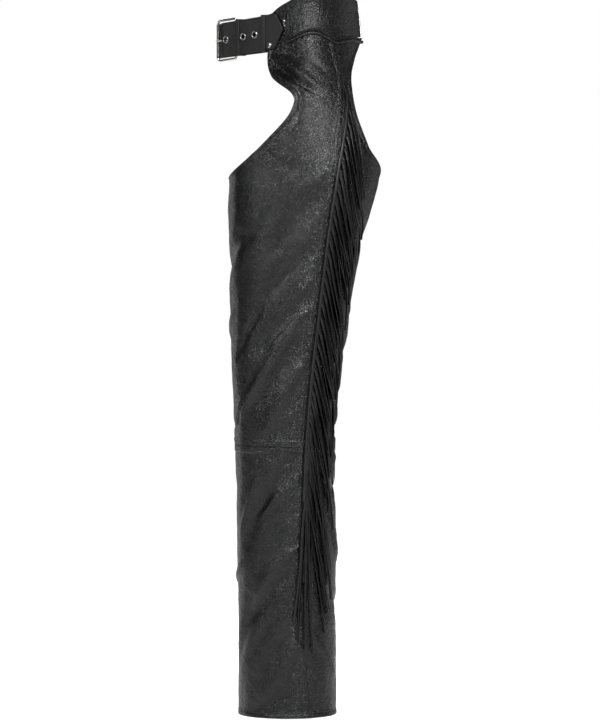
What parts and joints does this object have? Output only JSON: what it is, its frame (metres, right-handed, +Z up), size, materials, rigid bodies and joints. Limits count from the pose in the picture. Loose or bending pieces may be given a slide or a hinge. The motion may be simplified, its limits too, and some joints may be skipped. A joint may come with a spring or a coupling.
{
  "type": "leather chaps",
  "caption": "Black leather riding chaps with a shaped yoke, a buckled front belt, open seat and two open legs with fringed outseams.",
  "frame": {"origin": "Middle of the waist ring, at half the height of the yoke at the centre back.", "axes": "+Z up along the legs, -Y the wearer's front, +X the wearer's left. Metres."},
  "size_m": [0.3686, 0.2487, 1.0766],
  "materials": {
    "black_leather": "grained, semi-gloss",
    "nickel": "polished nickel plate"
  },
  "bodies": {
    "root": {"left_front_thigh": "black_leather", "left_back_thigh": "black_leather", "left_front_shin": "black_leather", "left_back_calf": "black_leather", "left_yoke": "black_leather", "left_fringe_under": "black_leather", "left_fringe_over": "black_leather", "right_front_thigh": "black_leather", "right_back_thigh": "black_leather", "right_front_shin": "black_leather", "right_back_calf": "black_leather", "right_yoke": "black_leather", "right_fringe_under": "black_leather", "right_fringe_over": "black_leather", "tongue_strap": "black_leather", "buckle_strap": "black_leather", "keeper_front": "black_leather", "keeper_rear": "black_leather", "buckle_frame": "nickel", "buckle_prong": "nickel", "eyelet_1": "nickel", "eyelet_2": "nickel", "eyelet_3": "nickel", "left_stud": "nickel", "right_stud": "nickel", "left_crease_eyelet": "nickel", "right_crease_eyelet": "nickel"}
  },
  "joints": []
}
